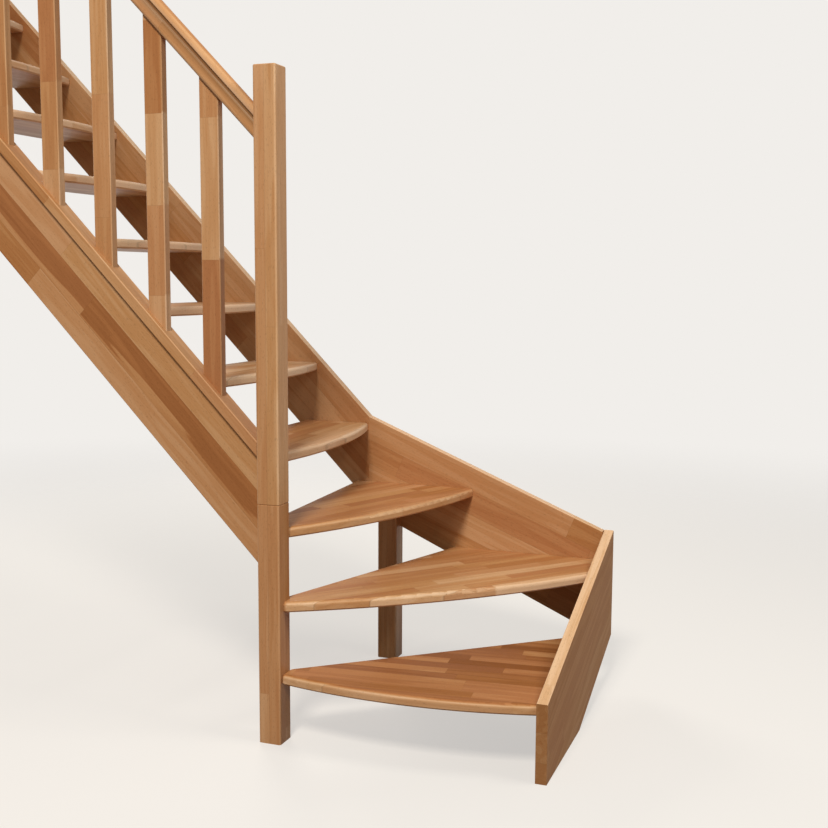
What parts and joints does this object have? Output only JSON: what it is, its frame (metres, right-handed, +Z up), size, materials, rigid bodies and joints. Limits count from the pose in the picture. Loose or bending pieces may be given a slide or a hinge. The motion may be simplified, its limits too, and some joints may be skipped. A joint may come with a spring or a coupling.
{
  "type": "quarter-turn winder staircase",
  "caption": "Open-riser timber stair: bowed winder treads turn left round a newel post into a straight flight between housed strings, with a moulded handrail on flat balusters.",
  "frame": {"origin": "centre of the turn newel's foot, on the lower floor", "axes": "+X along the wall towards the entry side, +Y towards the wall, +Z up"},
  "size_m": [2.847, 0.9298, 3.887],
  "materials": {
    "post_beech": "satin lacquer on edge-glued beech",
    "string_beech": "satin lacquer on edge-glued beech",
    "tread_beech": "satin lacquer on edge-glued beech",
    "rail_beech": "satin lacquer on edge-glued beech",
    "baluster_beech": "satin lacquer on edge-glued beech"
  },
  "bodies": {
    "root": {"newel_lower": "post_beech", "newel_upper": "post_beech", "newel_top": "post_beech", "support_post": "post_beech", "entry_string": "string_beech", "wall_string_lower": "string_beech", "wall_string_upper": "string_beech", "inner_string": "string_beech", "shoe_rail": "rail_beech", "shoe_fillets": "rail_beech", "handrail": "rail_beech", "rail_fillets": "rail_beech", "tread_01": "tread_beech", "tread_02": "tread_beech", "tread_03": "tread_beech", "tread_04": "tread_beech", "tread_05": "tread_beech", "tread_06": "tread_beech", "tread_07": "tread_beech", "tread_08": "tread_beech", "tread_09": "tread_beech", "tread_10": "tread_beech", "tread_11": "tread_beech", "tread_12": "tread_beech", "baluster_01": "baluster_beech", "baluster_02": "baluster_beech", "baluster_03": "baluster_beech", "baluster_04": "baluster_beech", "baluster_05": "baluster_beech", "baluster_06": "baluster_beech", "baluster_07": "baluster_beech", "baluster_08": "baluster_beech", "baluster_09": "baluster_beech", "baluster_10": "baluster_beech"}
  },
  "joints": []
}
